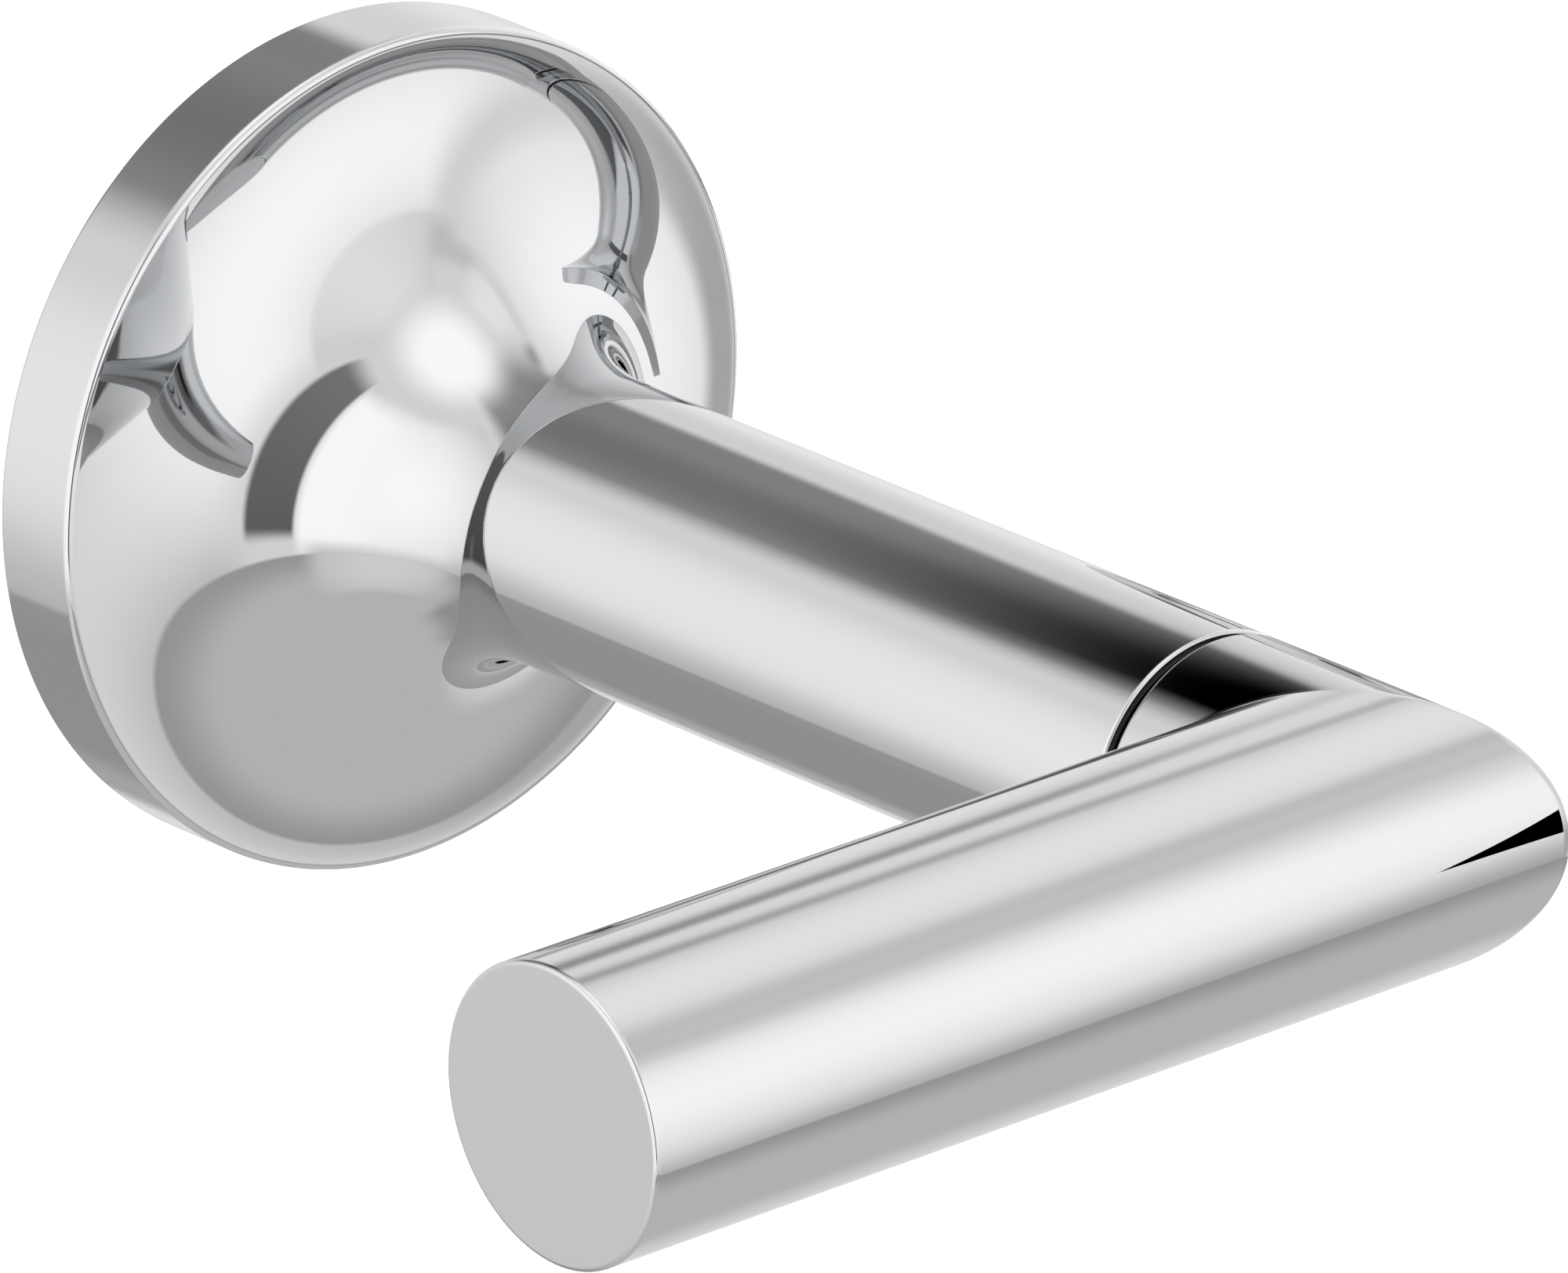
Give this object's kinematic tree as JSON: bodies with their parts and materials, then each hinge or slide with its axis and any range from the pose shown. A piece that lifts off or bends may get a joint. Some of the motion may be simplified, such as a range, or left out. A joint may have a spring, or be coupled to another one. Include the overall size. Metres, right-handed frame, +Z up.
{
  "type": "toilet paper holder",
  "caption": "Wall-mounted toilet paper holder: a round bell flange flows into a long post, and a short mitred arm at its end lifts about the post's axis to take a roll.",
  "frame": {"origin": "centre of the flange on the wall surface, where the post's axis meets the wall", "axes": "+Y into the wall along the post's axis, -Y out of the wall, -X along the arm at rest (left as seen from the room), +Z up"},
  "size_m": [0.1137, 0.1514, 0.0694],
  "materials": {
    "polished_chrome": "mirror polished plate",
    "zinc_steel": "zinc plated, dull",
    "dark_steel": "plain hardened steel",
    "brass": "turned",
    "black_nylon": "moulded",
    "grey_nylon": "moulded"
  },
  "bodies": {
    "wall_unit": {"flange_post": "polished_chrome", "wall_bracket": "zinc_steel", "wall_screw_upper": "zinc_steel", "wall_screw_lower": "zinc_steel", "wall_plug_upper": "grey_nylon", "wall_plug_lower": "grey_nylon", "set_screw": "dark_steel", "pivot_bush": "brass"},
    "arm": {"arm_elbow": "polished_chrome", "arm_end_cap": "polished_chrome", "elbow_plug": "brass", "spindle": "zinc_steel", "stop_pin": "dark_steel", "thrust_washer": "black_nylon", "wave_washer": "dark_steel", "flat_washer": "zinc_steel", "lock_nut": "zinc_steel"}
  },
  "joints": [
    {"name": "arm_lift", "type": "hinge", "parent": "wall_unit", "child": "arm", "pos_m": [0, -0.104, 0], "axis": [0, 1, 0], "range_deg": [0, 90]}
  ]
}
